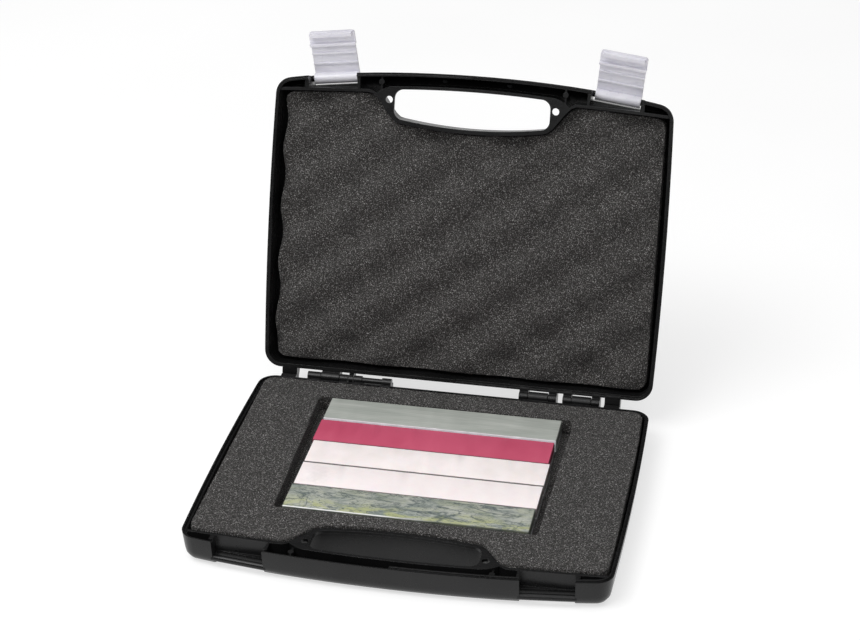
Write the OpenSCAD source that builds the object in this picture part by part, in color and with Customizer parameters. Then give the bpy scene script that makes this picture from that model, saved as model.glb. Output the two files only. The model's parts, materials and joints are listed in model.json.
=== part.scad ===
// Set of five bench sharpening stones on aluminium blanks, in a foam-lined
// carrying case with two snap latches.
//
// Frame: origin at the centre of the case's underside, X along the hinge,
// Y towards the hinge, Z up. The lid stands open on its stops, both latches
// are swung open, and the stones lie in their bed. Millimetres.

/* [Case] */
// Width of the case at the rim, corner to corner
case_w = 255.6; // [250:0.2:262]
// Depth of the straight part of the sides
case_d = 196.4; // [194:0.2:200]
// Height of one half of the case
half_h = 19; // [18.6:0.1:19.6]
// How far each side bows out at its middle
side_bow = 1.9; // [0.5:0.1:3]
// How far the front edge bulges past the ends of the sides
front_bulge = 3.3; // [2.8:0.1:3.8]
// How far the front edge falls back towards its corners
front_fall = 10.9; // [10:0.1:12]
// Radius of the upright corners at the rim
corner_r = 11; // [10.6:0.1:13]
// Radius of the lower edge
edge_r = 8; // [5:0.5:8]
// Wall thickness
wall = 2.4; // [2:0.1:2.8]
// Floor thickness
floor_t = 2; // [1.6:0.1:2.4]
// How far the walls lean in from the rim down to the lower edge
draft = 1.2; // [0.4:0.1:1.4]
// Gap between the two rims when the case is shut
rim_gap = 0.1; // [0.1:0.05:0.3]

/* [Handle] */
// Half length of the slot for the hand
slot_half = 50.3; // [44:0.1:51]
// Depth of the slot at its middle
slot_d = 24.3; // [20:0.1:24.6]
// Diameter of the small hole at each end of the slot
tie_hole_d = 4.6; // [3:0.1:5]
// Distance of the small holes from the middle
tie_hole_x = 53.7; // [53.4:0.1:54.2]

/* [Latches] */
// Distance of each latch from the middle
latch_x = 91.3; // [90.8:0.1:91.8]
// Turn of each latch, which follows the bulging front
latch_turn = 6.8; // [5.5:0.1:8]
// Width of the latch plate
latch_w = 29.2; // [26:0.1:30]
// Diameter of the bar that a latch hangs on or grips
bar_d = 4; // [3.6:0.1:4]
// Angle that the left latch stands forward of the lid
left_lean = 21; // [0:1:60]
// Angle that the right latch stands forward of the lid
right_lean = 28; // [0:1:60]

/* [Hinge] */
// Angle that the lid is open
lid_open = 108.8; // [90:0.1:108.8]
// Distance of the hinge line behind the back wall
hinge_out = 4; // [3.8:0.1:4.4]
// Diameter of the hinge pins
pin_d = 4; // [3.4:0.1:4.2]

/* [Stones] */
// Length of a stone
stone_l = 150; // [140:1:152]
// Width of an aluminium blank
blank_w = 24.8; // [24:0.1:24.8]
// Thickness of an aluminium blank
blank_t = 3; // [2:0.1:3.4]
// Distance from one stone to the next
stone_pitch = 25.2; // [25.1:0.1:25.2]
// Place of the middle stone, front to back
bed_y = 11.7; // [11:0.1:12.4]

/* [Foam] */
// Height of the top of the cut foam
foam_top = 20.4; // [19.4:0.1:20.8]
// Height of the top of the pad under the stones
pad_top = 10; // [8:0.1:10.2]
// Distance from the lid's outer face to the highest foam
lid_foam_top = 15.8; // [12:0.1:16]

/* [Hidden] */

// Parting plane, on which the hinge line lies
part_z = half_h;
rim_z = half_h - rim_gap / 2;
hinge_y = case_d / 2 + hinge_out;
back_y = case_d / 2;

// Latch bar: its place in a half of the case
bar_y = -93;
bar_z = 6;
bar_gap = 0.2;

// Latch recess: half width, height of its ledge and depth behind the bar
recess_half = 16;
ledge_z = 8.5;
recess_back = 4.2;

// Latch: plate thickness, start and half width of its cap, and its tip
plate_t = 1.6;
cap_z = 21.9;
cap_half = 15;
tip_z = 31.3;
// Mouth of the clip that snaps over a bar: width, and turn towards the outer side
mouth_w = 3.4;
mouth_turn = 52;

// Hinge arms: how far they reach into the back wall and below the parting
// plane, their gap to that plane, and the diameter of a plain arm's head
arm_root = 1.6;
arm_drop = 7;
arm_gap = 0.25;
arm_head = 5.6;
// Hinge eyes: outer diameter, and play of the pin in the eye
eye_d = pin_d + 2.8;
eye_play = 0.2;
// Blocks under a bracket's arms: lower face and height
under_z = part_z - 7.4;
under_h = 4.9;
// Web behind a bracket's slot: thickness, and gap to the eye
web_t = 1.2;
web_gap = 0.3;

// Stops: slope and length of their end faces, depth of their root, and half
// the gap between the two partners
stop_slope = 54.2;
stop_l = 7;
stop_root = 9;
stop_gap = 0.15;

// Thickness of each stone, from the back of the bed to the front
stone_t = [7.5, 6.6, 6.8, 6.6, 7.0];
// Shift of each stone along its length
stone_shift = [-0.2, -1.1, 0, -0.4, -1];
// Colour of each stone
stone_colour = [[0.62, 0.65, 0.62], [0.72, 0.26, 0.38], [0.93, 0.89, 0.89],
                [0.95, 0.91, 0.91], [0.56, 0.6, 0.52]];

eps = 0.01;
black = [0.07, 0.07, 0.075];
foam_grey = [0.2, 0.19, 0.19];
latch_lilac = [0.78, 0.77, 0.82];
metal = [0.8, 0.8, 0.82];

// ---------- plan curves of the case ----------

// Front edge: a bulge that gets steeper towards the corners
function front_y(x) =
  let (u = x / (case_w / 2))
  -(case_d / 2 + front_bulge) + front_fall * (0.82 * u * u + 0.18 * pow(u, 4));

// Side edge, bowed out at its middle
function side_x(y) = case_w / 2 + side_bow * (1 - pow(2 * y / case_d, 2));

// Smooth step from 1 at a down to 0 at b
function fade(x, a, b) =
  let (t = max(0, min(1, (x - a) / (b - a))))
  1 - t * t * (3 - 2 * t);

// Inner wall that holds the foam: it runs behind the latches, then swings
// back round the handle
function behind_latch(x) = -88.5 + 4.2 * pow(x / (case_w / 2), 2);
function behind_handle(x) = -65 - 0.0017 * x * x;
function inner_wall_y(x) =
  let (f = fade(abs(x), 48, 67))
  f * behind_handle(x) + (1 - f) * behind_latch(x);

// Front edge of the handle slot
function slot_front_y(x) = -91 + 0.0007 * x * x;

// Wall between the handle slot and the hollow front bar
function bar_wall_y(x) =
  slot_front_y(min(abs(x), 50)) - 0.4 + 3.7 * pow(max(0, abs(x) - 50) / 10.5, 2);

function steps(a, b, n) = [for (i = [0:n]) a + (b - a) * i / n];

// Outline of the case at the rim, drawn in by an inset
module outline(inset = 0) {
  offset(r = corner_r - inset, $fn = 40)
    offset(delta = -corner_r)
      polygon(concat(
        [for (x = steps(-case_w / 2, case_w / 2, 20)) [x, front_y(x)]],
        [for (y = steps(front_y(case_w / 2) + 1, back_y, 10)) [side_x(y), y]],
        [for (y = steps(back_y, front_y(case_w / 2) + 1, 10)) [-side_x(y), y]]));
}

// Solid of the outline with a rounded lower edge, from a floor height up
module tub(inset, z0, r) {
  hull() {
    for (a = [0:22.5:90]) {
      translate([0, 0, z0 + r * (1 - cos(a))])
        linear_extrude(eps)
          outline(draft + inset + r * (1 - sin(a)));
    }
    translate([0, 0, rim_z - eps])
      linear_extrude(eps)
        outline(inset);
  }
}

// Plan area in front of the curve fn(x) + d, between two x values
module in_front_of_wall(x0, x1, d) {
  xs = steps(x0, x1, 40);
  polygon(concat([[x0, -130]], [for (x = xs) [x, inner_wall_y(x) + d]], [[x1, -130]]));
}

module behind_wall(d) {
  xs = steps(-140, 140, 80);
  polygon(concat([[-140, 130]], [for (x = xs) [x, inner_wall_y(x) + d]], [[140, 130]]));
}

// Finger recess of the handle, seen in plan
module finger_recess(d = 0) {
  xs = steps(-60.4 - d, 60.4 + d, 44);
  polygon(concat(
    [for (x = xs) [x, inner_wall_y(x) - 1 + d]],
    [for (i = [44:-1:0]) [xs[i], min(bar_wall_y(xs[i]) - d, inner_wall_y(xs[i]) - 1.2)]]));
}

// Handle slot, seen in plan
module hand_slot() {
  offset(r = 6, $fn = 32)
    offset(delta = -6)
      polygon(concat(
        [for (x = steps(-slot_half, slot_half, 16)) [x, slot_front_y(x)]],
        [for (x = steps(slot_half, -slot_half, 16)) [x, -91 + slot_d - 0.0017 * x * x]]));
}

// ---------- one half of the case ----------

// Placing for the latch bar: X along the bar, Y inwards
module at_bar(side) {
  translate([side * latch_x, bar_y, bar_z])
    rotate([0, 0, side * latch_turn])
      children();
}

// Opening in the front wall for one latch, above a low ledge
module latch_recess(side) {
  intersection() {
    at_bar(side) translate([-recess_half, -20, ledge_z - bar_z])
      cube([2 * recess_half, 40, 30]);
    translate([0, 0, -1]) linear_extrude(40) in_front_of_wall(-140, 140, -1);
  }
  at_bar(side) translate([-recess_half, -20, -10])
    cube([2 * recess_half, 20 + recess_back, 30]);
}

module latch_bar(side) {
  at_bar(side) rotate([0, 90, 0]) cylinder(d = bar_d, h = 34, center = true, $fn = 48);
}

// Hollows that open at the rim: foam bay, front bar and the two corners
module hollows() {
  intersection() {
    tub(wall, floor_t, edge_r - wall);
    translate([0, 0, -1]) linear_extrude(40) {
      behind_wall(0.9);
      difference() {
        in_front_of_wall(-73.3, 73.3, -1);
        finger_recess(1.6);
      }
      in_front_of_wall(-140, -109.6, -1);
      in_front_of_wall(109.6, 140, -1);
    }
  }
}

// Thin rib with a taller round boss, beside each end of the handle
module bar_rib(side) {
  intersection() {
    tub(wall - 0.5, floor_t - 0.5, edge_r - wall);
    translate([side * 59.3, 0, 1]) {
      translate([-0.6, -100, 0]) cube([1.2, 13, rim_z - 2.6]);
      translate([0, -93.6, 0]) cylinder(d = 3.6, h = rim_z - 1.6, $fn = 32);
    }
  }
}

// Strip that follows the rim between two insets, on one side of the middle
module rim_strip(side, i0, i1, z, h) {
  intersection() {
    translate([0, 0, z]) linear_extrude(h) {
      difference() {
        outline(i0);
        outline(i1);
      }
    }
    translate([side * 70, 0, 0]) cube([140, 300, 100], center = true);
  }
}

module half_case() {
  difference() {
    tub(0, 0, edge_r);
    hollows();
    translate([0, 0, -1]) linear_extrude(rim_z - 1) finger_recess();
    translate([0, 0, -1]) linear_extrude(40) hand_slot();
    for (side = [-1, 1]) {
      translate([side * tie_hole_x, -82.6, -1]) cylinder(d = tie_hole_d, h = 40, $fn = 40);
      latch_recess(side);
    }
    // rebate on the left half, which takes the other rim's tongue
    rim_strip(-1, 1.1, 3, rim_z - 1.5, 5);
  }
  difference() {
    rim_strip(1, 1.35, 2.35, rim_z - 1, 2.1);
    latch_recess(1);
    translate([-5, -200, 0]) cube([5.6, 400, 40]);
    translate([-5, 0, 0]) cube([140, 200, 40]);
  }
  for (side = [-1, 1]) {
    latch_bar(side);
    bar_rib(side);
  }
}

// ---------- hinge ----------

// Placing that turns a half over and opens it about the hinge line
module on_lid() {
  translate([0, hinge_y, part_z])
    rotate([-lid_open, 0, 0])
      translate([0, -hinge_y, part_z])
        rotate([0, 180, 0])
          children();
}

// Arm from the back wall to the hinge line, with a round head
module hinge_arm(x0, w, head_d) {
  translate([x0, 0, 0]) {
    translate([0, back_y - arm_root, part_z - arm_drop])
      cube([w, hinge_out + arm_root, arm_drop - arm_gap]);
    translate([0, hinge_y, part_z])
      rotate([0, 90, 0])
        cylinder(d = head_d, h = w, $fn = 48);
  }
}

// Bracket from x0 to x1 with a slot, across which the pin runs: an arm on a
// block at each side of the slot, and a web that closes the slot's far side
// below the swing of the eye
module pin_bracket(x0, x1, slot_x0, slot_x1) {
  web_y = hinge_y + eye_d / 2 + web_gap;
  for (arm = [[x0, slot_x0 - x0], [slot_x1, x1 - slot_x1]]) {
    hinge_arm(arm[0], arm[1], arm_head);
    translate([arm[0], back_y - arm_root, under_z])
      cube([arm[1], web_y + web_t - back_y + arm_root, under_h]);
  }
  translate([x0, web_y, under_z])
    cube([x1 - x0, web_t, under_h]);
  translate([x0 + 1, hinge_y, part_z])
    rotate([0, 90, 0])
      cylinder(d = pin_d, h = x1 - x0 - 2, $fn = 48);
}

// Arm that turns on a pin
module hinge_eye(x0, x1) {
  difference() {
    hinge_arm(x0, x1 - x0, eye_d);
    translate([x0 - 1, hinge_y, part_z])
      rotate([0, 90, 0])
        cylinder(d = pin_d + eye_play, h = x1 - x0 + 2, $fn = 48);
  }
}

// Wedge whose sloping end meets its partner when the lid is fully open
module stop_block(x0, w) {
  translate([x0, 0, 0])
    rotate([90, 0, 90])
      linear_extrude(w)
        polygon([[back_y - arm_root, part_z - stop_gap],
                 [hinge_y - stop_gap, part_z - stop_gap],
                 [hinge_y + stop_l * cos(stop_slope) - stop_gap,
                  part_z - stop_l * sin(stop_slope)],
                 [back_y - arm_root, part_z - stop_root]]);
}

// ---------- latch ----------

// Latch in its own frame: the bar it hangs on lies along X through the
// origin, and the plate runs along +Z with its inner face towards +Y
module latch() {
  plate_y = -bar_d / 2 - bar_gap - plate_t;
  color(latch_lilac) {
    difference() {
      union() {
        rotate([0, 90, 0]) cylinder(d = bar_d + 2 * plate_t, h = latch_w, center = true, $fn = 48);
        translate([-latch_w / 2, plate_y, 0]) cube([latch_w, plate_t, 24]);
        // cap with rounded corners, a little thicker than the plate
        translate([0, plate_y, 0])
          rotate([90, 0, 0])
            translate([0, 0, -plate_t])
              linear_extrude(plate_t + 0.4) tip_outline();
        // two thin ribs, the ridge below the grip and the lip that hooks the bar
        translate([-latch_w / 2, plate_y + 1, 8.9]) cube([latch_w, 1.4, 1.3]);
        translate([-latch_w / 2, plate_y + 1, 15.9]) cube([latch_w, 1.4, 1.3]);
        translate([-cap_half, plate_y + 1, cap_z]) cube([2 * cap_half, 2.6, 1.7]);
        translate([-13.4, plate_y + 1, 28.4]) cube([26.8, 3.4, 2.6]);
        // mark left by the moulding gate
        translate([9.5, plate_y + plate_t - 0.2, 14.2])
          rotate([-90, 0, 0])
            cylinder(d = 1.8, h = 0.5, $fn = 32);
      }
      rotate([0, 90, 0]) cylinder(d = bar_d + 0.2, h = latch_w + 2, center = true, $fn = 48);
      // mouth of the clip, on the outer side below the plate
      rotate([-mouth_turn, 0, 0])
        translate([-latch_w, -mouth_w / 2, -10])
          cube([2 * latch_w, mouth_w, 10]);
    }
  }
}

// Outline of the latch's tip, in X and Z
module tip_outline() {
  translate([-cap_half, cap_z]) square([2 * cap_half, 7]);
  translate([2 - cap_half, 26]) square([2 * cap_half - 4, tip_z - 26]);
  for (side = [-1, 1]) {
    translate([side * (cap_half - 2), tip_z - 2]) circle(r = 2, $fn = 32);
  }
}

// Placing of a latch on a half of the case, standing a lean forward of it
module on_bar(side, lean) {
  at_bar(side) rotate([90 - lean, 0, 0]) children();
}

// ---------- foam ----------

// Plan of a foam sheet with set gaps at the left, right and back
module foam_plan(left, right, back) {
  offset(r = 7, $fn = 32)
    offset(delta = -7)
      intersection() {
        outline(wall + draft + 0.3);
        behind_wall(1.5);
        translate([-case_w / 2 + left, -120])
          square([case_w - left - right, 120 + back_y - back]);
      }
}

// Plan of the bed that is cut out for the stones
module bed_plan() {
  offset(r = 2, $fn = 24)
    offset(delta = -2)
      polygon([[-80.3, bed_y - 64.2], [79, bed_y - 64.2],
               [81.8, bed_y + 64.4], [-83.4, bed_y + 64.4]]);
}

// ---------- nodes ----------

module base_shell() {
  color(black) {
    half_case();
    pin_bracket(-98, -71, -89.2, -76.4);
    pin_bracket(-67, -42, -61.6, -48.2);
    hinge_eye(48.6, 61.2);
    hinge_eye(77, 89.2);
    stop_block(-115.8, 10);
    stop_block(98, 10);
  }
}

// The lid is the same half turned over, so left and right change places
module lid_shell() {
  on_lid() color(black) {
    half_case();
    pin_bracket(-67, -42.5, -61.6, -48.2);
    pin_bracket(-95, -71, -89.6, -76.6);
    hinge_eye(76.8, 88.8);
    hinge_arm(67.5, 3, 5.4);
    stop_block(105.8, 10);
    stop_block(-108, 10);
  }
}

module latch_left() {
  on_lid() on_bar(1, left_lean) latch();
}

module latch_right() {
  on_lid() on_bar(-1, right_lean) latch();
}

module base_foam() {
  color(foam_grey) difference() {
    translate([0, 0, pad_top + 0.02]) linear_extrude(foam_top - pad_top - 0.02)
      foam_plan(3.3, 2.4, 3.2);
    translate([0, 0, pad_top - 1]) linear_extrude(20) bed_plan();
  }
}

module base_pad() {
  color(foam_grey) intersection() {
    translate([0, 0, floor_t + 0.05]) linear_extrude(pad_top - floor_t - 0.05)
      foam_plan(4.8, 4.8, 3.6);
    tub(wall + 0.4, floor_t + 0.05, edge_r - wall);
  }
}

module lid_foam() {
  on_lid() color(foam_grey) intersection() {
    translate([0, 0, floor_t + 0.05]) linear_extrude(lid_foam_top - floor_t - 0.05)
      foam_plan(4, 4.2, 5);
    tub(wall + 0.4, floor_t + 0.05, edge_r - wall);
  }
}

// Stones are counted from the hinge towards the front
module at_stone(n) {
  translate([stone_shift[n - 1], bed_y + (3 - n) * stone_pitch, pad_top + 0.3])
    children();
}

module blank(n) {
  color(metal) at_stone(n)
    translate([-stone_l / 2, -blank_w / 2, 0])
      cube([stone_l, blank_w, blank_t]);
}

module stone(n) {
  color(stone_colour[n - 1]) at_stone(n)
    translate([-stone_l / 2 + 0.2, -blank_w / 2 + 0.2, blank_t])
      cube([stone_l - 0.4, blank_w - 0.4, stone_t[n - 1]]);
}

module grey_blank() { blank(1); }
module ruby_blank() { blank(2); }
module pale_blank() { blank(3); }
module white_blank() { blank(4); }
module green_blank() { blank(5); }
module grey_stone() { stone(1); }
module ruby_stone() { stone(2); }
module pale_stone() { stone(3); }
module white_stone() { stone(4); }
module green_stone() { stone(5); }

base_shell();
lid_shell();
latch_left();
latch_right();
base_foam();
base_pad();
lid_foam();
grey_blank();
ruby_blank();
pale_blank();
white_blank();
green_blank();
grey_stone();
ruby_stone();
pale_stone();
white_stone();
green_stone();
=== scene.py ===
import json
import math

import bmesh
import bpy
import numpy as np
from mathutils import Matrix, Vector


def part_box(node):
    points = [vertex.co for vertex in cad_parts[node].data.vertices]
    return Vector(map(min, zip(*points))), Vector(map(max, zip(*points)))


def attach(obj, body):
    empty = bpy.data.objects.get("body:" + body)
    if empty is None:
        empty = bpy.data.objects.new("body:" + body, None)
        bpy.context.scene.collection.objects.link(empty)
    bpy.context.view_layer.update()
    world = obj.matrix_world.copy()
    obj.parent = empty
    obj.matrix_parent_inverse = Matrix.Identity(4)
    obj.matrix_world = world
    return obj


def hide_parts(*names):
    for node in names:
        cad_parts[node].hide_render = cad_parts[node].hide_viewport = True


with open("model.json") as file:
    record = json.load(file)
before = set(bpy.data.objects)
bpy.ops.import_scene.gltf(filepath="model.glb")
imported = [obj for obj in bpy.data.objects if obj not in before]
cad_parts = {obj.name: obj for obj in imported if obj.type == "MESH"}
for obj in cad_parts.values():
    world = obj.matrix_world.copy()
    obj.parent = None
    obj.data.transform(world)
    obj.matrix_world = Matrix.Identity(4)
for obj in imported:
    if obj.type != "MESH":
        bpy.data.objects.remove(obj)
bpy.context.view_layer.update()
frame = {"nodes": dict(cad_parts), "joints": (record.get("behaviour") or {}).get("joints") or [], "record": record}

MM = 0.001

# ---------- camera ----------
CAMERA_AT = Vector((0.2376, -1.1263, 0.7726))
CAMERA_AZIMUTH = math.radians(11.593)
CAMERA_DOWN = math.radians(29.287)
CAMERA_ROLL = math.radians(0.434)
LENS = 93.95
SHIFT_X = -0.0028


def add_camera():
    """The camera stands to the right of the case and looks down on it."""
    look = Vector((
        -math.sin(CAMERA_AZIMUTH) * math.cos(CAMERA_DOWN),
        math.cos(CAMERA_AZIMUTH) * math.cos(CAMERA_DOWN),
        -math.sin(CAMERA_DOWN),
    ))
    level = Vector((math.cos(CAMERA_AZIMUTH), math.sin(CAMERA_AZIMUTH), 0))
    below = look.cross(level)
    right = level * math.cos(CAMERA_ROLL) + below * math.sin(CAMERA_ROLL)
    down = below * math.cos(CAMERA_ROLL) - level * math.sin(CAMERA_ROLL)
    data = bpy.data.cameras.new("camera")
    data.lens = LENS
    data.shift_x = SHIFT_X
    data.sensor_width = 36
    data.clip_start = 0.05
    data.clip_end = 50
    camera = bpy.data.objects.new("camera", data)
    turn = Matrix((right, -down, -look)).transposed().to_4x4()
    camera.matrix_world = Matrix.Translation(CAMERA_AT) @ turn
    bpy.context.scene.collection.objects.link(camera)
    bpy.context.scene.camera = camera


add_camera()


# ---------- node helpers ----------
class Shader:
    """A material's node tree, with short ways to add nodes and link them."""

    def __init__(self, name, **constants):
        self.material = bpy.data.materials.new(name)
        self.material.use_nodes = True
        self.tree = self.material.node_tree
        self.surface = self.tree.nodes["Principled BSDF"]
        for socket, value in constants.items():
            self.surface.inputs[socket.replace("_", " ")].default_value = value
        source = self.tree.nodes.new("ShaderNodeTexCoord")
        self.place = source.outputs["Object"]
        self.facing = source.outputs["Normal"]

    def node(self, kind, settings=None, **links):
        made = self.tree.nodes.new(kind)
        for key, value in (settings or {}).items():
            setattr(made, key, value)
        for socket, value in links.items():
            self.put(made.inputs[socket.replace("_", " ")], value)
        return made

    def put(self, socket, value):
        if isinstance(value, bpy.types.NodeSocket):
            self.tree.links.new(value, socket)
        else:
            socket.default_value = value

    def scaled(self, scale, shift=(0, 0, 0)):
        """Object coordinates stretched by a scale for each axis."""
        return self.node("ShaderNodeMapping", Vector=self.place, Scale=scale, Location=shift).outputs[0]

    def noise(self, scale, detail=2.0, rough=0.5, distort=0.0, at=None):
        return self.node(
            "ShaderNodeTexNoise", Vector=at or self.place, Scale=scale, Detail=detail,
            Roughness=rough, Distortion=distort,
        ).outputs[0]

    def cells(self, scale, output="Distance", feature="F1", at=None):
        made = self.node("ShaderNodeTexVoronoi", {"feature": feature}, Vector=at or self.place, Scale=scale)
        return made.outputs[output]

    def fit(self, value, low, high, to_low=0.0, to_high=1.0):
        made = self.node("ShaderNodeMapRange", Value=value)
        numbers = {"From Min": low, "From Max": high, "To Min": to_low, "To Max": to_high}
        for socket, number in numbers.items():
            made.inputs[socket].default_value = number
        return made.outputs[0]

    def math(self, operation, a, b=0.0):
        made = self.node("ShaderNodeMath", {"operation": operation})
        self.put(made.inputs[0], a)
        self.put(made.inputs[1], b)
        return made.outputs[0]

    def axis(self, vector, name):
        return self.node("ShaderNodeSeparateXYZ", Vector=vector).outputs[name]

    def mix(self, factor, a, b):
        made = self.node("ShaderNodeMix", {"data_type": "RGBA"})
        self.put(made.inputs[0], factor)
        self.put(made.inputs[6], a if isinstance(a, bpy.types.NodeSocket) else (*a, 1))
        self.put(made.inputs[7], b if isinstance(b, bpy.types.NodeSocket) else (*b, 1))
        return made.outputs[2]

    def bump(self, height, strength, distance, edge=0.0):
        """Surface relief, with corners rounded over by an edge radius."""
        made = self.node("ShaderNodeBump", Height=height, Strength=strength, Distance=distance)
        if edge:
            rounded = self.node("ShaderNodeBevel", {"samples": 4}, Radius=edge)
            self.put(made.inputs["Normal"], rounded.outputs[0])
        self.put(self.surface.inputs["Normal"], made.outputs[0])

    def colour(self, value):
        self.put(self.surface.inputs["Base Color"], value)

    def roughness(self, value):
        self.put(self.surface.inputs["Roughness"], value)


# ---------- materials ----------
def case_plastic():
    """Black polypropylene: a fine moulded grain with faint scuffs."""
    s = Shader("case_plastic_look", IOR=1.49, Specular_IOR_Level=0.31)
    cloud = s.noise(28, 3)
    scuff = s.noise(60, 4, 0.6, at=s.scaled((1, 6, 1)))
    s.colour(s.mix(s.fit(cloud, 0.35, 0.65), (0.0052, 0.0052, 0.0054), (0.0085, 0.0085, 0.0088)))
    s.roughness(s.fit(scuff, 0.3, 0.7, 0.22, 0.33))
    s.bump(s.noise(2600, 2), 0.1, 0.0002, edge=0.35 * MM)
    return s.material


def pin_mark():
    """The case's plastic where a polished pin of the mould pressed it: smoother and paler."""
    s = Shader("pin_mark_look", IOR=1.49)
    cloud = s.noise(700, 2)
    s.colour(s.mix(s.fit(cloud, 0.3, 0.7), (0.040, 0.041, 0.043), (0.062, 0.063, 0.067)))
    s.roughness(s.fit(cloud, 0.3, 0.7, 0.16, 0.26))
    s.bump(s.noise(1800, 2), 0.06, 0.0001)
    return s.material


def latch_plastic():
    """Milky lilac polypropylene, a little translucent."""
    s = Shader(
        "latch_plastic_look", IOR=1.49, Subsurface_Weight=0.3, Subsurface_Radius=(0.9, 0.9, 1.0),
        Subsurface_Scale=0.003, Coat_Weight=0.15, Coat_Roughness=0.25,
    )
    flow = s.noise(90, 2, at=s.scaled((1, 1, 5)))
    s.colour(s.mix(s.fit(flow, 0.3, 0.7), (0.67, 0.66, 0.725), (0.76, 0.75, 0.80)))
    s.roughness(s.fit(s.noise(300, 2), 0.3, 0.7, 0.26, 0.36))
    s.bump(s.noise(900, 2), 0.05, 0.0002, edge=0.2 * MM)
    return s.material


def foam():
    """Charcoal open-cell foam: painted shade in the pores between struts, and painted glints on some struts."""
    s = Shader("foam_look", Specular_IOR_Level=0.2, Roughness=0.9, Sheen_Weight=0.08, Sheen_Roughness=0.6)
    strut_vs_pore_shade = s.fit(s.cells(1500, feature="DISTANCE_TO_EDGE"), 0.03, 0.28, 1, 0)
    clump = s.noise(900, 3, 0.7)
    painted_glint = s.math("POWER", s.fit(s.noise(1500, 1), 0.46, 0.73), 2)
    # Painted shade: the pores go near black, while the struts keep the foam's own charcoal
    body = s.mix(strut_vs_pore_shade, (0.0058, 0.0052, 0.0050), (0.047, 0.0430, 0.0405))
    body = s.mix(s.fit(clump, 0.38, 0.6, 0.85, 0), body, (0.012, 0.011, 0.0105))
    # Painted glints: pale specks on some of the struts
    s.colour(s.mix(s.math("MULTIPLY", painted_glint, strut_vs_pore_shade), body, (0.56, 0.545, 0.53)))
    s.bump(s.math("ADD", strut_vs_pore_shade, clump), 0.8, 0.0004)
    return s.material


def aluminium():
    """Brushed aluminium bar with lengthwise scratches."""
    s = Shader("blank_aluminium_look", Metallic=1.0, Anisotropic=0.4)
    brushed = s.noise(1, 3, 0.7, at=s.scaled((60, 5200, 5200)))
    s.colour(s.mix(s.fit(brushed, 0.3, 0.7), (0.62, 0.63, 0.65), (0.83, 0.84, 0.86)))
    s.roughness(s.fit(brushed, 0.3, 0.7, 0.22, 0.42))
    s.bump(brushed, 0.15, 0.0001)
    return s.material


def front_face(s):
    """A mask of the long side that faces the latches."""
    return s.fit(s.axis(s.facing, "Y"), -0.4, -0.8)


def shade_painted_sides(s, tone, painted_shade_tone, strength=0.9):
    """Painted shade: rounded edges and sides are darkened toward a shade tone; the lapped top keeps its colour."""
    side = s.fit(s.math("ABSOLUTE", s.axis(s.facing, "Z")), 0.97, 0.75)
    return s.mix(s.math("MULTIPLY", side, strength), tone, painted_shade_tone)


def grey_abrasive():
    """Grey slate, lapped with fine streaks along the bar, and paler on its front side."""
    s = Shader("grey_abrasive_look", Specular_IOR_Level=0.35)
    fine = s.noise(1, 4, 0.6, at=s.scaled((30, 1500, 1000)))
    broad = s.noise(1, 3, 0.55, 0.4, at=s.scaled((16, 150, 150)))
    tone = s.mix(s.fit(fine, 0.3, 0.7), (0.315, 0.335, 0.305), (0.49, 0.50, 0.47))
    tone = s.mix(s.fit(broad, 0.35, 0.62, 0, 0.55), tone, (0.27, 0.295, 0.265))
    # Painted shade on the sides and rounded edges
    tone = shade_painted_sides(s, tone, (0.12, 0.13, 0.12), 0.8)
    s.colour(s.mix(front_face(s), tone, (0.86, 0.87, 0.91)))
    s.roughness(s.fit(fine, 0.3, 0.7, 0.55, 0.75))
    s.bump(s.noise(2400, 2), 0.2, 0.0002)
    return s.material


def ruby_abrasive():
    """Even crimson ceramic with a fine grain."""
    s = Shader("ruby_abrasive_look", Specular_IOR_Level=0.4)
    cloud = s.noise(32, 2)
    grain = s.noise(2600, 1)
    tone = s.mix(s.fit(cloud, 0.35, 0.65), (0.485, 0.062, 0.125), (0.53, 0.080, 0.150))
    tone = s.mix(s.fit(grain, 0.6, 0.8, 0, 0.35), tone, (0.57, 0.16, 0.25))
    # Painted shade on the sides and rounded edges
    s.colour(shade_painted_sides(s, tone, (0.10, 0.022, 0.035), 0.8))
    s.roughness(s.fit(grain, 0.3, 0.7, 0.5, 0.66))
    s.bump(grain, 0.15, 0.00015)
    return s.material


def white_stone(name, tint, mottle_scale, smudge_at=None):
    """Chalky white stone with faint mottling, and a grey smudge where it has been used."""
    s = Shader(name, Specular_IOR_Level=0.35, Subsurface_Weight=0.08, Subsurface_Scale=0.002)
    mottle = s.noise(mottle_scale, 3, 0.55)
    speck = s.noise(900, 2)
    tone = s.mix(s.fit(mottle, 0.38, 0.66), (0.91, 0.835, 0.83), tint)
    tone = s.mix(s.fit(speck, 0.6, 0.85, 0, 0.3), tone, (0.74, 0.67, 0.66))
    if smudge_at:
        reach = s.node("ShaderNodeVectorMath", {"operation": "DISTANCE"}, Vector=s.place)
        reach.inputs[1].default_value = smudge_at
        wander = s.fit(s.noise(170, 4, 0.6), 0.3, 0.7, -0.006, 0.006)
        ragged = s.math("ADD", reach.outputs["Value"], wander)
        tone = s.mix(s.fit(ragged, 0.001, 0.010, 0.25, 0), tone, (0.52, 0.50, 0.49))
    # Painted shade on the sides and rounded edges
    s.colour(shade_painted_sides(s, tone, (0.17, 0.155, 0.15)))
    s.roughness(s.fit(speck, 0.3, 0.7, 0.55, 0.72))
    s.bump(s.noise(2200, 2), 0.18, 0.0002)
    return s.material


# Broad and fine veins of the green stone: scale, shift, half width and strength
GREEN_VEINS = (
    ((20, 75, 75), (3, 1, 2), 0.028, 0.95),
    ((60, 190, 190), (6, 9, 4), 0.026, 0.75),
)


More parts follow.
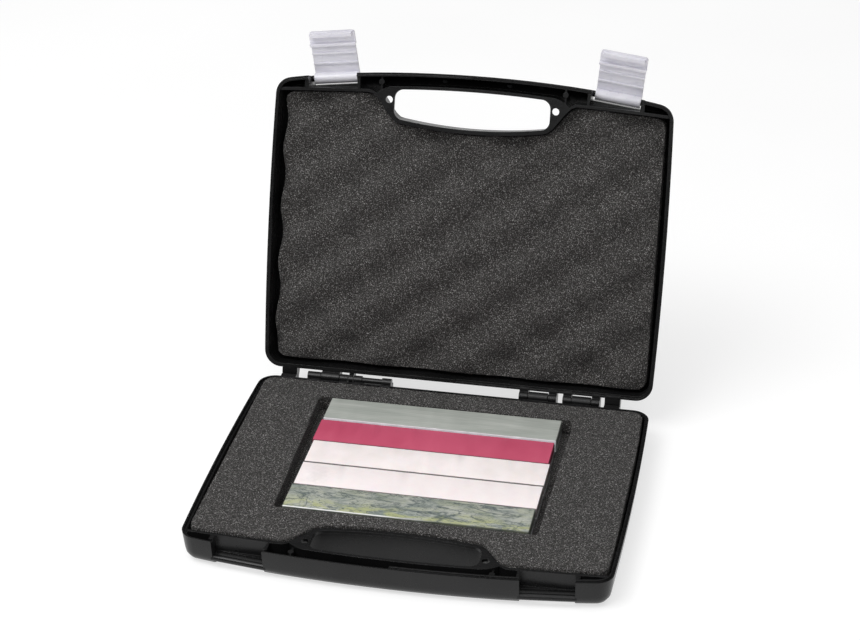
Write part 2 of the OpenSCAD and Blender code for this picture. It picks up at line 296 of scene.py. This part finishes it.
def green_abrasive():
    """Green-grey marble with slate veins, mossy, with a painted highlight along its front edge."""
    s = Shader("green_abrasive_look", Specular_IOR_Level=0.45)
    low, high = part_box("green_stone")
    width = high.y - low.y
    cloud = s.noise(1, 6, 0.62, 1.2, at=s.scaled((55, 120, 120)))
    fine = s.noise(1, 5, 0.7, 0.6, at=s.scaled((220, 420, 420), (1, 4, 2)))
    moss = s.noise(1, 5, 0.65, 0.9, at=s.scaled((60, 150, 150), (7, 2, 5)))
    near = s.fit(s.axis(s.place, "Y"), low.y + width * 0.5, low.y)
    tone = s.mix(s.fit(cloud, 0.36, 0.60), (0.19, 0.225, 0.205), (0.42, 0.43, 0.385))
    tone = s.mix(s.fit(fine, 0.42, 0.68, 0, 0.55), tone, (0.50, 0.52, 0.47))
    mossy = s.math("MULTIPLY", s.fit(moss, 0.44, 0.60), s.math("ADD", near, 0.2))
    tone = s.mix(s.math("MINIMUM", mossy, 0.75), tone, (0.42, 0.44, 0.19))
    for scale, shift, reach, depth in GREEN_VEINS:
        field = s.noise(1, 6, 0.62, 1.6, at=s.scaled(scale, shift))
        vein = s.math("ABSOLUTE", s.math("SUBTRACT", field, 0.5))
        tone = s.mix(s.fit(vein, 0.0, reach, depth, 0), tone, (0.060, 0.085, 0.092))
    # Painted shade on the sides and rounded edges
    tone = shade_painted_sides(s, tone, (0.06, 0.07, 0.06), 0.8)
    # Painted highlight: a pale line on the front top edge, bright over the left part of the bar and fading out
    # past its middle
    along = low.x + (high.x - low.x) * 0.62
    forward = s.fit(s.axis(s.facing, "Y"), -0.25, -0.6)
    edge = s.math("MULTIPLY", forward, s.fit(s.axis(s.facing, "Z"), 0.1, 0.5))
    highlight_fade = s.fit(s.axis(s.place, "X"), along, along - 35 * MM)
    s.colour(s.mix(s.math("MULTIPLY", edge, highlight_fade), tone, (0.88, 0.89, 0.87)))
    s.roughness(s.fit(cloud, 0.3, 0.7, 0.38, 0.55))
    s.bump(s.noise(1500, 2), 0.1, 0.0002)
    return s.material


def smudge_place():
    """Near the left end of the white stone, on its top."""
    low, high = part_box("white_stone")
    return (low.x + 12 * MM, (low.y + high.y) / 2, high.z)


LOOKS = {
    "case_plastic": case_plastic(),
    "latch_plastic": latch_plastic(),
    "foam": foam(),
    "blank_aluminium": aluminium(),
    "grey_abrasive": grey_abrasive(),
    "ruby_abrasive": ruby_abrasive(),
    "pale_abrasive": white_stone("pale_abrasive_look", (0.84, 0.77, 0.755), 55),
    "white_abrasive": white_stone("white_abrasive_look", (0.88, 0.80, 0.80), 80, smudge_at=smudge_place()),
    "green_abrasive": green_abrasive(),
}
SLOT_OF = {part["node"]: part["material_slot"] for part in frame["record"]["subparts"]}
BODY_OF = {node: body for body, members in frame["record"]["behaviour"]["bodies"].items() for node in members}


# ---------- shells and latches: the CAD solids with smooth curves ----------
def smooth_by_angle(mesh, degrees):
    """Smooth shading that keeps real edges sharp."""
    mesh.polygons.foreach_set("use_smooth", [True] * len(mesh.polygons))
    mesh.set_sharp_from_angle(angle=math.radians(degrees))


def smoothing_group(degrees):
    """Modifier nodes that shade every face smooth, with edges past an angle left sharp."""
    group = bpy.data.node_groups.new("smooth_by_angle", "GeometryNodeTree")
    group.interface.new_socket("Geometry", in_out="INPUT", socket_type="NodeSocketGeometry")
    group.interface.new_socket("Geometry", in_out="OUTPUT", socket_type="NodeSocketGeometry")
    start = group.nodes.new("NodeGroupInput")
    end = group.nodes.new("NodeGroupOutput")
    faces = group.nodes.new("GeometryNodeSetShadeSmooth")
    edges = group.nodes.new("GeometryNodeSetShadeSmooth")
    edges.domain = "EDGE"
    angle = group.nodes.new("GeometryNodeInputMeshEdgeAngle")
    gentle = group.nodes.new("FunctionNodeCompare")
    gentle.operation = "LESS_THAN"
    gentle.inputs["B"].default_value = math.radians(degrees)
    group.links.new(angle.outputs["Unsigned Angle"], gentle.inputs["A"])
    group.links.new(start.outputs[0], faces.inputs["Geometry"])
    group.links.new(faces.outputs[0], edges.inputs["Geometry"])
    group.links.new(gentle.outputs[0], edges.inputs["Shade Smooth"])
    group.links.new(edges.outputs[0], end.inputs[0])
    return group


def dress_cad(node, smoothing):
    """Gives a CAD node its material and smooth curves; its shape and place stay."""
    piece = frame["nodes"][node]
    for place in piece.material_slots:
        place.material = LOOKS[SLOT_OF[node]]
    weld = piece.modifiers.new("weld", "WELD")
    weld.merge_threshold = CAD_WELD
    piece.modifiers.new("smooth", "NODES").node_group = smoothing


CAD_WELD = 0.01 * MM
SMOOTHING = smoothing_group(32)
for cad_node in ("base_shell", "lid_shell", "latch_left", "latch_right"):
    dress_cad(cad_node, SMOOTHING)


# ---------- foam ----------
HINGE = next(joint for joint in frame["joints"] if joint["name"] == "lid_hinge")
LID_OPEN = math.radians(-HINGE["range_deg"][0])
HINGE_AT = Vector(HINGE["pos_m"])
# Turns the open lid back to its shut place, and lays its outer face at z = 0
SHUT = Matrix.Translation(HINGE_AT) @ Matrix.Rotation(LID_OPEN, 4, "X") @ Matrix.Translation(-HINGE_AT)

FOAM_VOXEL = 1.25 * MM
CELL_DEPTH = 0.3 * MM
FOAM_SHARP = 38
# Egg-crate waves of the lid's foam: wavelengths, the place of one hollow, its depth,
# and how far the walls of a hollow lean inward, as a part of their distance from the middle
WAVE_X = 53.2 * MM
WAVE_Y = 37.5 * MM
VALLEY = Vector((-50 * MM, 29 * MM))
WAVE_DEPTH = 8 * MM
WAVE_LEAN = 0.012


def new_piece(name, mesh, node, look=None):
    """Puts a mesh in the scene as the piece that stands for a CAD node."""
    piece = bpy.data.objects.new(name, mesh)
    bpy.context.scene.collection.objects.link(piece)
    mesh.materials.clear()
    mesh.materials.append(look or LOOKS[SLOT_OF[node]])
    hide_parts(node)
    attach(piece, BODY_OF[node])
    return piece


def remeshed(node, turn, voxel):
    """The node's shape as an even mesh, with its sheet lying flat."""
    mesh = frame["nodes"][node].data.copy()
    mesh.transform(turn)
    draft = bpy.data.objects.new("draft", mesh)
    bpy.context.scene.collection.objects.link(draft)
    weld = draft.modifiers.new("weld", "WELD")
    weld.merge_threshold = 0.02 * MM
    remesh = draft.modifiers.new("remesh", "REMESH")
    remesh.mode = "VOXEL"
    remesh.voxel_size = voxel
    result = bpy.data.meshes.new_from_object(draft.evaluated_get(bpy.context.evaluated_depsgraph_get()))
    bpy.data.objects.remove(draft)
    return result


def points(mesh):
    """The mesh's points, one row each."""
    flat = np.zeros(len(mesh.vertices) * 3, np.float32)
    mesh.vertices.foreach_get("co", flat)
    return flat.reshape(-1, 3)


def put_points(mesh, co):
    """Moves the mesh's points to the given rows."""
    mesh.vertices.foreach_set("co", co.astype(np.float32).ravel())
    mesh.update()


def cell_roughness(co, normals, depth, seed):
    """Open cells: every point moves in along its normal by a random depth."""
    rng = np.random.default_rng(seed)
    return co - normals * (rng.random((len(co), 1)) ** 2 * depth).astype(np.float32)


def normals_of(mesh):
    """The mesh's normals, one row for each point."""
    flat = np.zeros(len(mesh.vertices) * 3, np.float32)
    mesh.vertex_normals.foreach_get("vector", flat)
    return flat.reshape(-1, 3)


def flat_foam(name, node, seed):
    """A cut sheet of foam with open cells over its faces."""
    mesh = remeshed(node, Matrix.Identity(4), FOAM_VOXEL)
    co = cell_roughness(points(mesh), normals_of(mesh), CELL_DEPTH, seed)
    put_points(mesh, co)
    smooth_by_angle(mesh, FOAM_SHARP)
    piece = new_piece(name, mesh, node)
    return piece


def wavy_foam(name, node, seed):
    """Convoluted sheet: peaks and hollows in a diagonal pattern."""
    mesh = remeshed(node, SHUT, FOAM_VOXEL)
    co = points(mesh)
    top, back = co[:, 2].min(), co[:, 2].max()
    phase_x = 2 * math.pi * (co[:, 0] - VALLEY.x) / WAVE_X
    phase_y = 2 * math.pi * (co[:, 1] - VALLEY.y) / WAVE_Y
    hollow = 0.5 + 0.5 * np.cos(phase_x) * np.cos(phase_y)
    reach = (back - co[:, 2]) / (back - top)
    co[:, 2] += hollow * WAVE_DEPTH * reach
    middle = (co[:, :2].max(0) + co[:, :2].min(0)) / 2
    co[:, :2] += (middle - co[:, :2]) * (hollow * reach * WAVE_LEAN)[:, None]
    put_points(mesh, co)
    co = cell_roughness(points(mesh), normals_of(mesh), CELL_DEPTH, seed)
    put_points(mesh, co)
    mesh.transform(SHUT.inverted())
    smooth_by_angle(mesh, FOAM_SHARP)
    piece = new_piece(name, mesh, node)
    return piece


flat_foam("cut_foam", "base_foam", 1)
flat_foam("foam_pad", "base_pad", 2)
wavy_foam("egg_crate_foam", "lid_foam", 3)


# Angle past which the edges of the made bars and marks stay sharp, in degrees
BAR_SHARP = 40


# ---------- discs that the mould's ejector pins left in the hollow front bars ----------
MARK_PLACES = (-42 * MM, -21 * MM, 21 * MM, 42 * MM)
HOLLOW_Y = -95.5 * MM
MARK_RADIUS = 1.6 * MM
# Rings of a mark from its rim to its dished middle: part of the radius, and height
MARK_RINGS = ((1.0, -0.3 * MM), (1.0, 0.10 * MM), (0.88, 0.16 * MM), (0.74, 0.16 * MM), (0.66, 0.08 * MM))
MARK_SIDES = 28
PART_Z = HINGE_AT.z
TO_PART = Matrix.Translation((0, 0, PART_Z))
TURN_OVER = TO_PART @ Matrix.Rotation(math.pi, 4, "Y") @ TO_PART.inverted()


def ejector_marks(name, node, half):
    """Low discs on the hollow's floor; half places the base's own frame on this half."""
    shell = frame["nodes"][node]
    down = half.to_3x3() @ Vector((0, 0, -1))
    built = bmesh.new()
    for x in MARK_PLACES:
        start = half @ Vector((x, HOLLOW_Y, PART_Z - MM))
        found, at, normal, _ = shell.ray_cast(start, down)
        if not found:
            continue
        turn = Matrix.Translation(at) @ normal.to_track_quat("Z", "Y").to_matrix().to_4x4()
        loops = []
        angles = [2 * math.pi * i / MARK_SIDES for i in range(MARK_SIDES)]
        for part, height in MARK_RINGS:
            reach = part * MARK_RADIUS
            loops.append([
                built.verts.new(turn @ Vector((reach * math.cos(a), reach * math.sin(a), height)))
                for a in angles
            ])
        for a, b in zip(loops, loops[1:]):
            for i in range(MARK_SIDES):
                j = (i + 1) % MARK_SIDES
                built.faces.new((a[i], a[j], b[j], b[i]))
        built.faces.new(loops[-1])
        built.faces.new(list(reversed(loops[0])))
    bmesh.ops.recalc_face_normals(built, faces=built.faces)
    mesh = bpy.data.meshes.new(name)
    built.to_mesh(mesh)
    built.free()
    smooth_by_angle(mesh, BAR_SHARP)
    mesh.materials.append(PIN_MARK)
    piece = bpy.data.objects.new(name, mesh)
    bpy.context.scene.collection.objects.link(piece)
    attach(piece, BODY_OF[node])


PIN_MARK = pin_mark()
ejector_marks("base_ejector_marks", "base_shell", Matrix.Identity(4))
ejector_marks("lid_ejector_marks", "lid_shell", SHUT.inverted() @ TURN_OVER)


# ---------- stones and their blanks ----------
CORNER_STEPS = 4
RINGS = 76
END_TURN = math.radians(80)


def bar(node, edge, chips, seed):
    """A long block with worn edges: rings of points from end to end."""
    low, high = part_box(node)
    rng = np.random.default_rng(seed)
    half = (high - low) / 2
    middle = (high + low) / 2
    profile = []
    for quarter in range(4):
        side_y = 1 if quarter in (0, 3) else -1
        side_z = 1 if quarter in (0, 1) else -1
        for step in range(CORNER_STEPS + 1):
            angle = math.pi / 2 * (quarter + step / CORNER_STEPS)
            wear = math.sin(math.pi * step / CORNER_STEPS)
            profile.append((side_y * (half.y - edge), side_z * (half.z - edge), angle, wear))
    ends = []
    for step in range(1, CORNER_STEPS + 1):
        angle = END_TURN * step / CORNER_STEPS
        out = half.x - edge + edge * math.sin(angle) / math.sin(END_TURN)
        ends.append((out, edge * (1 - math.cos(angle))))
    inner = np.linspace(-(half.x - edge), half.x - edge, RINGS)
    rings = [(-x, inset) for x, inset in reversed(ends)] + [(x, 0) for x in inner] + ends
    built = bmesh.new()
    loops = []
    for x, inset in rings:
        loop = []
        for y, z, angle, wear in profile:
            reach = edge - inset - chips * wear * rng.random() ** 6
            point = Vector((x, y + reach * math.cos(angle), z + reach * math.sin(angle)))
            loop.append(built.verts.new(middle + point))
        loops.append(loop)
    for a, b in zip(loops, loops[1:]):
        for i in range(len(a)):
            j = (i + 1) % len(a)
            built.faces.new((a[i], a[j], b[j], b[i]))
    built.faces.new(list(reversed(loops[0])))
    built.faces.new(loops[-1])
    bmesh.ops.recalc_face_normals(built, faces=built.faces)
    mesh = bpy.data.meshes.new(node + "_bar")
    built.to_mesh(mesh)
    built.free()
    smooth_by_angle(mesh, BAR_SHARP)
    return new_piece(node + "_bar", mesh, node)


# Radius that each stone's edges are worn to
STONE_EDGES = {"grey": 0.5 * MM, "ruby": 0.45 * MM, "pale": 0.4 * MM, "white": 0.4 * MM, "green": 0.8 * MM}
for count, (stone, worn) in enumerate(STONE_EDGES.items()):
    bar(stone + "_blank", 0.3 * MM, 0.03 * MM, 10 + count)
    bar(stone + "_stone", worn, 0.16 * MM, 20 + count)


# ---------- floor and light ----------
def add_floor():
    """A pale floor just under the case, lit a little from within so that it stays white."""
    built = bmesh.new()
    bmesh.ops.create_grid(built, x_segments=2, y_segments=2, size=6)
    mesh = bpy.data.meshes.new("floor")
    built.to_mesh(mesh)
    built.free()
    floor = bpy.data.objects.new("floor", mesh)
    floor.location.z = -0.3 * MM
    bpy.context.scene.collection.objects.link(floor)
    s = Shader("floor_look", Roughness=0.9, Specular_IOR_Level=0.1, Emission_Strength=0.62)
    s.colour(s.mix(s.fit(s.noise(3, 2), 0.4, 0.6), (0.42, 0.42, 0.42), (0.44, 0.44, 0.44)))
    s.put(s.surface.inputs["Emission Color"], (1, 1, 1, 1))
    mesh.materials.append(s.material)


def add_lamp(name, at, towards, size, power):
    """A rectangular soft light."""
    data = bpy.data.lights.new(name, "AREA")
    data.shape = "RECTANGLE"
    data.size, data.size_y = size
    data.energy = power
    lamp = bpy.data.objects.new(name, data)
    lamp.location = at
    lamp.rotation_euler = (Vector(towards) - Vector(at)).to_track_quat("-Z", "Y").to_euler()
    bpy.context.scene.collection.objects.link(lamp)


def add_world():
    """A bright ceiling over a dim horizon, so black faces keep their depth."""
    world = bpy.data.worlds.new("studio")
    world.use_nodes = True
    tree = world.node_tree
    place = tree.nodes.new("ShaderNodeTexCoord")
    split = tree.nodes.new("ShaderNodeSeparateXYZ")
    ramp = tree.nodes.new("ShaderNodeValToRGB")
    ramp.color_ramp.elements[0].position = 0.60
    ramp.color_ramp.elements[0].color = (0.06, 0.06, 0.06, 1)
    ramp.color_ramp.elements[1].position = 0.90
    ramp.color_ramp.elements[1].color = (1.25, 1.25, 1.25, 1)
    tree.links.new(place.outputs["Generated"], split.inputs[0])
    tree.links.new(split.outputs["Z"], ramp.inputs[0])
    tree.links.new(ramp.outputs[0], tree.nodes["Background"].inputs["Color"])
    tree.nodes["Background"].inputs["Strength"].default_value = 1.0
    bpy.context.scene.world = world


add_floor()
add_world()
add_lamp("key", (-0.7, -0.7, 1.5), (0, 0.03, 0.05), (1.2, 0.9), 17)
add_lamp("fill", (0.3, -1.6, 1.1), (0, 0.03, 0.08), (1.4, 0.6), 6)
bpy.context.scene.view_settings.view_transform = "Standard"
